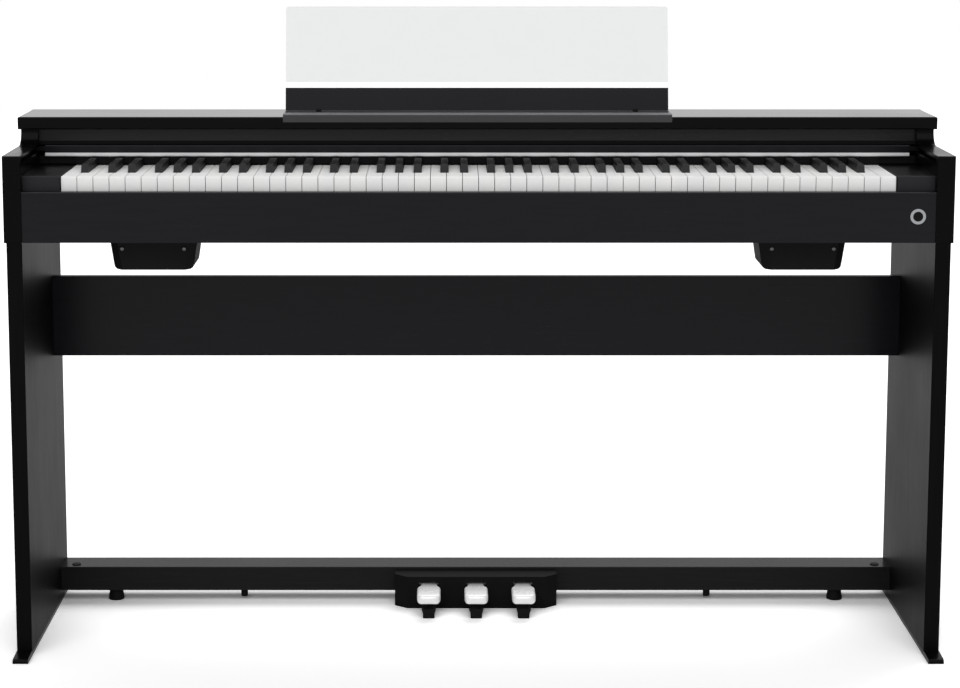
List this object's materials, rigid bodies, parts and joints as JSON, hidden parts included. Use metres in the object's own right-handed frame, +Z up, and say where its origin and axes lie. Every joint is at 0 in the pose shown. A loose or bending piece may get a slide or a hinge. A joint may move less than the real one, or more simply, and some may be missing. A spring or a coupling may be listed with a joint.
{
  "type": "digital piano",
  "caption": "Compact digital piano on a panel-leg stand, with a sliding key cover, clear music rest and a pedal box.",
  "frame": {"origin": "on the floor, under the middle of the whole outline", "axes": "+X to the player's right along the keyboard, +Y away from the player, +Z up"},
  "size_m": [1.397, 0.386, 0.9603],
  "materials": {
    "black_wood": "satin black foil over particle board",
    "black_plastic": "matte black moulding",
    "foot_rubber": "soft black pad",
    "pedal_chrome": "polished plating",
    "steel": "drawn steel",
    "silver_trim": "satin silver",
    "felt": "pressed felt",
    "speaker_metal": "black painted basket",
    "clear_acrylic": "clear grey-tinted acrylic sheet",
    "circuit_board": "green solder mask",
    "white_key": "smooth white moulding",
    "black_key": "satin black moulding"
  },
  "bodies": {
    "case": {"left_leg": "black_wood", "right_leg": "black_wood", "left_foot": "black_wood", "right_foot": "black_wood", "back_panel": "black_wood", "pedal_beam": "black_wood", "beam_pads": "foot_rubber", "beam_caps": "black_plastic", "pedal_box": "black_wood", "pedal_base": "black_plastic", "pedal_shaft": "steel", "pedal_springs": "steel", "left_cheek": "black_wood", "right_cheek": "black_wood", "keybed": "black_wood", "key_slip": "black_wood", "left_key_block": "black_wood", "right_key_block": "black_wood", "top_board": "black_wood", "rear_board": "black_wood", "upper_rail": "black_wood", "felt_rail": "black_wood", "key_felts": "felt", "rest_tray": "black_plastic", "button_ring": "silver_trim", "power_switch": "black_plastic", "left_speaker_box": "black_plastic", "right_speaker_box": "black_plastic", "speakers": "speaker_metal", "key_frame": "black_plastic", "key_rod": "steel", "sensor_board": "circuit_board", "main_board": "circuit_board", "jack_panel": "black_plastic"},
    "cover": {"key_cover": "black_wood", "cover_trim": "silver_trim", "cover_runners": "black_plastic"},
    "music_rest": {"rest_bar": "black_wood", "rest_screen": "clear_acrylic", "rest_pegs": "black_plastic"},
    "soft_pedal": {"soft_pedal": "pedal_chrome"},
    "sostenuto_pedal": {"sostenuto_pedal": "pedal_chrome"},
    "damper_pedal": {"damper_pedal": "pedal_chrome"},
    "left_adjuster": {"left_adjuster": "black_plastic"},
    "right_adjuster": {"right_adjuster": "black_plastic"},
    "power_button": {"power_button": "black_plastic"},
    "white_keys": {"white_keys": "white_key"},
    "black_keys": {"black_keys": "black_key"},
    "key_c4": {"key_c4": "white_key"},
    "key_d4": {"key_d4": "white_key"},
    "key_e4": {"key_e4": "white_key"},
    "key_f4": {"key_f4": "white_key"},
    "key_g4": {"key_g4": "white_key"},
    "key_a4": {"key_a4": "white_key"},
    "key_b4": {"key_b4": "white_key"},
    "key_cs4": {"key_cs4": "black_key"},
    "key_ds4": {"key_ds4": "black_key"},
    "key_fs4": {"key_fs4": "black_key"},
    "key_gs4": {"key_gs4": "black_key"},
    "key_as4": {"key_as4": "black_key"}
  },
  "joints": [
    {"name": "button_press", "type": "slide", "parent": "case", "child": "power_button", "axis": [0, 1, 0], "range_m": [0, 0.0018], "stiffness_N_per_m": 200, "springref_m": -0.005},
    {"name": "cover_slide", "type": "slide", "parent": "case", "child": "cover", "axis": [0, -1, 0], "range_m": [0, 0.15]},
    {"name": "damper_pedal_dip", "type": "hinge", "parent": "case", "child": "damper_pedal", "pos_m": [0, 0.114, 0.03425], "axis": [1, 0, 0], "range_deg": [0, 6], "stiffness_Nm_per_rad": 4, "springref_deg": -14.32},
    {"name": "soft_pedal_dip", "type": "hinge", "parent": "case", "child": "soft_pedal", "pos_m": [0, 0.114, 0.03425], "axis": [1, 0, 0], "range_deg": [0, 6], "stiffness_Nm_per_rad": 4, "springref_deg": -14.32},
    {"name": "sostenuto_pedal_dip", "type": "hinge", "parent": "case", "child": "sostenuto_pedal", "pos_m": [0, 0.114, 0.03425], "axis": [1, 0, 0], "range_deg": [0, 6], "stiffness_Nm_per_rad": 4, "springref_deg": -14.32},
    {"name": "desk_lift", "type": "slide", "parent": "case", "child": "music_rest", "axis": [0, 0.2079, 0.9781], "range_m": [0, 0.05]},
    {"name": "key_c4_dip", "type": "hinge", "parent": "case", "child": "key_c4", "pos_m": [0, 0.081, 0.706], "axis": [1, 0, 0], "range_deg": [0, 2.6], "stiffness_Nm_per_rad": 0.5, "springref_deg": -20.05},
    {"name": "key_d4_dip", "type": "hinge", "parent": "case", "child": "key_d4", "pos_m": [0, 0.081, 0.706], "axis": [1, 0, 0], "range_deg": [0, 2.6], "stiffness_Nm_per_rad": 0.5, "springref_deg": -20.05},
    {"name": "key_e4_dip", "type": "hinge", "parent": "case", "child": "key_e4", "pos_m": [0, 0.081, 0.706], "axis": [1, 0, 0], "range_deg": [0, 2.6], "stiffness_Nm_per_rad": 0.5, "springref_deg": -20.05},
    {"name": "key_f4_dip", "type": "hinge", "parent": "case", "child": "key_f4", "pos_m": [0, 0.081, 0.706], "axis": [1, 0, 0], "range_deg": [0, 2.6], "stiffness_Nm_per_rad": 0.5, "springref_deg": -20.05},
    {"name": "key_g4_dip", "type": "hinge", "parent": "case", "child": "key_g4", "pos_m": [0, 0.081, 0.706], "axis": [1, 0, 0], "range_deg": [0, 2.6], "stiffness_Nm_per_rad": 0.5, "springref_deg": -20.05},
    {"name": "key_a4_dip", "type": "hinge", "parent": "case", "child": "key_a4", "pos_m": [0, 0.081, 0.706], "axis": [1, 0, 0], "range_deg": [0, 2.6], "stiffness_Nm_per_rad": 0.5, "springref_deg": -20.05},
    {"name": "key_b4_dip", "type": "hinge", "parent": "case", "child": "key_b4", "pos_m": [0, 0.081, 0.706], "axis": [1, 0, 0], "range_deg": [0, 2.6], "stiffness_Nm_per_rad": 0.5, "springref_deg": -20.05},
    {"name": "key_cs4_dip", "type": "hinge", "parent": "case", "child": "key_cs4", "pos_m": [0, 0.081, 0.706], "axis": [1, 0, 0], "range_deg": [0, 2.6], "stiffness_Nm_per_rad": 0.5, "springref_deg": -20.05},
    {"name": "key_ds4_dip", "type": "hinge", "parent": "case", "child": "key_ds4", "pos_m": [0, 0.081, 0.706], "axis": [1, 0, 0], "range_deg": [0, 2.6], "stiffness_Nm_per_rad": 0.5, "springref_deg": -20.05},
    {"name": "key_fs4_dip", "type": "hinge", "parent": "case", "child": "key_fs4", "pos_m": [0, 0.081, 0.706], "axis": [1, 0, 0], "range_deg": [0, 2.6], "stiffness_Nm_per_rad": 0.5, "springref_deg": -20.05},
    {"name": "key_gs4_dip", "type": "hinge", "parent": "case", "child": "key_gs4", "pos_m": [0, 0.081, 0.706], "axis": [1, 0, 0], "range_deg": [0, 2.6], "stiffness_Nm_per_rad": 0.5, "springref_deg": -20.05},
    {"name": "key_as4_dip", "type": "hinge", "parent": "case", "child": "key_as4", "pos_m": [0, 0.081, 0.706], "axis": [1, 0, 0], "range_deg": [0, 2.6], "stiffness_Nm_per_rad": 0.5, "springref_deg": -20.05},
    {"name": "white_keys_dip", "type": "hinge", "parent": "case", "child": "white_keys", "pos_m": [0, 0.081, 0.706], "axis": [1, 0, 0], "range_deg": [0, 2.6], "stiffness_Nm_per_rad": 22, "springref_deg": -20.05},
    {"name": "black_keys_dip", "type": "hinge", "parent": "case", "child": "black_keys", "pos_m": [0, 0.081, 0.706], "axis": [1, 0, 0], "range_deg": [0, 2.6], "stiffness_Nm_per_rad": 16, "springref_deg": -20.05},
    {"name": "left_adjuster_turn", "type": "hinge", "parent": "case", "child": "left_adjuster", "pos_m": [-0.583, 0.145, 0], "axis": [0, 0, 1], "continuous": true},
    {"name": "right_adjuster_turn", "type": "hinge", "parent": "case", "child": "right_adjuster", "pos_m": [0.583, 0.145, 0], "axis": [0, 0, 1], "continuous": true}
  ]
}
